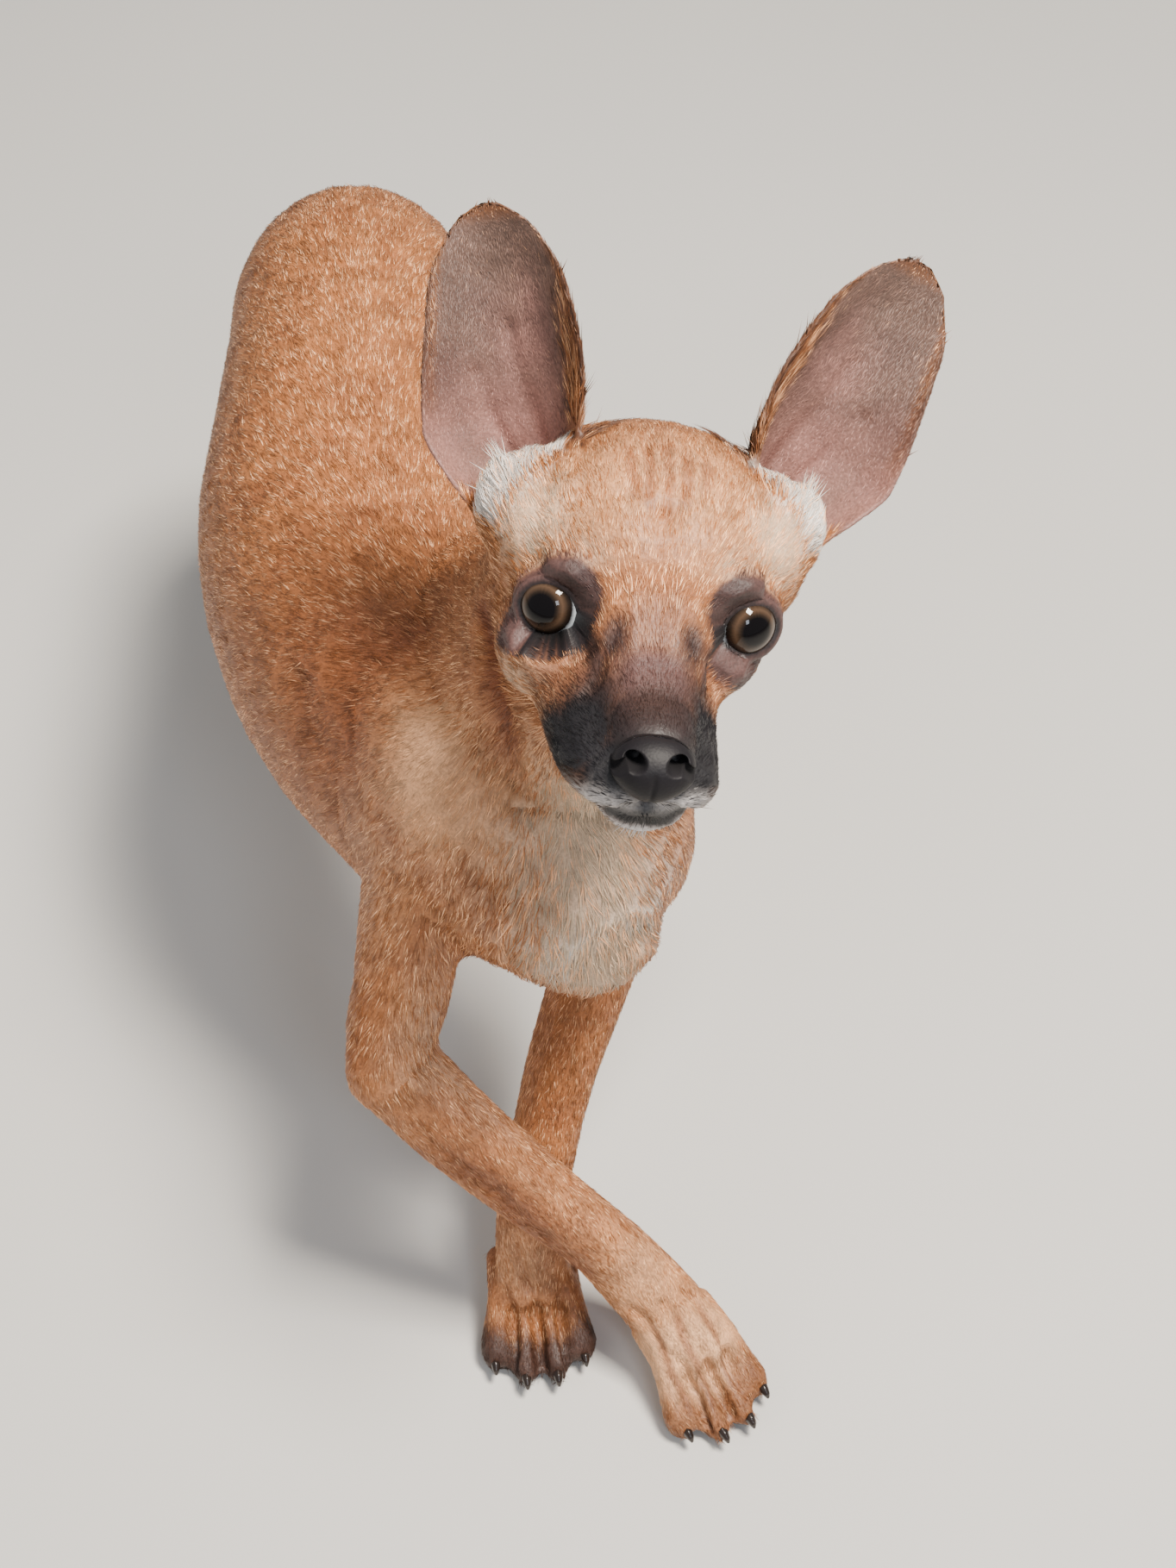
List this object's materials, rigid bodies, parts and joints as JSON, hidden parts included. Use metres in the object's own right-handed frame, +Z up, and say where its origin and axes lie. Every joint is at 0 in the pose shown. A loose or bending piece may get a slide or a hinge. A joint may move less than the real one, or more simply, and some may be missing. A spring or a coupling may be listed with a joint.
{
  "type": "chihuahua",
  "caption": "Life-size still model of a short-coated small dog with large upright ears, in mid step with one foreleg reaching across the other and the head turned up.",
  "frame": {"origin": "middle of the model's box, on the level of the paws' undersides", "axes": "+Z up, -Y the way the dog faces, +X to the dog's left"},
  "size_m": [0.1802, 0.4236, 0.3338],
  "materials": {
    "coat": "short smooth fur, tan to reddish fawn",
    "ear_skin": "thin skin with sparse short hair",
    "eye": "wet gloss",
    "nose_leather": "moist, finely pebbled",
    "claw_horn": "horn, half gloss"
  },
  "bodies": {
    "root": {"chest": "coat", "claw_forepaw_left_1": "claw_horn", "claw_forepaw_left_2": "claw_horn", "claw_forepaw_left_3": "claw_horn", "claw_forepaw_left_4": "claw_horn", "claw_forepaw_right_1": "claw_horn", "claw_forepaw_right_2": "claw_horn", "claw_forepaw_right_3": "claw_horn", "claw_forepaw_right_4": "claw_horn", "claw_hindpaw_left_1": "claw_horn", "claw_hindpaw_left_2": "claw_horn", "claw_hindpaw_left_3": "claw_horn", "claw_hindpaw_left_4": "claw_horn", "claw_hindpaw_right_1": "claw_horn", "claw_hindpaw_right_2": "claw_horn", "claw_hindpaw_right_3": "claw_horn", "claw_hindpaw_right_4": "claw_horn", "ear_left": "ear_skin", "ear_right": "ear_skin", "eye_left": "eye", "eye_right": "eye", "forearm_left": "coat", "forearm_right": "coat", "forepaw_left": "coat", "forepaw_right": "coat", "head": "coat", "hindpaw_left": "coat", "hindpaw_right": "coat", "loin": "coat", "lower_leg_left": "coat", "lower_leg_right": "coat", "neck": "coat", "nose": "nose_leather", "tail": "coat", "thigh_left": "coat", "thigh_right": "coat", "upper_arm_left": "coat", "upper_arm_right": "coat"}
  },
  "joints": []
}
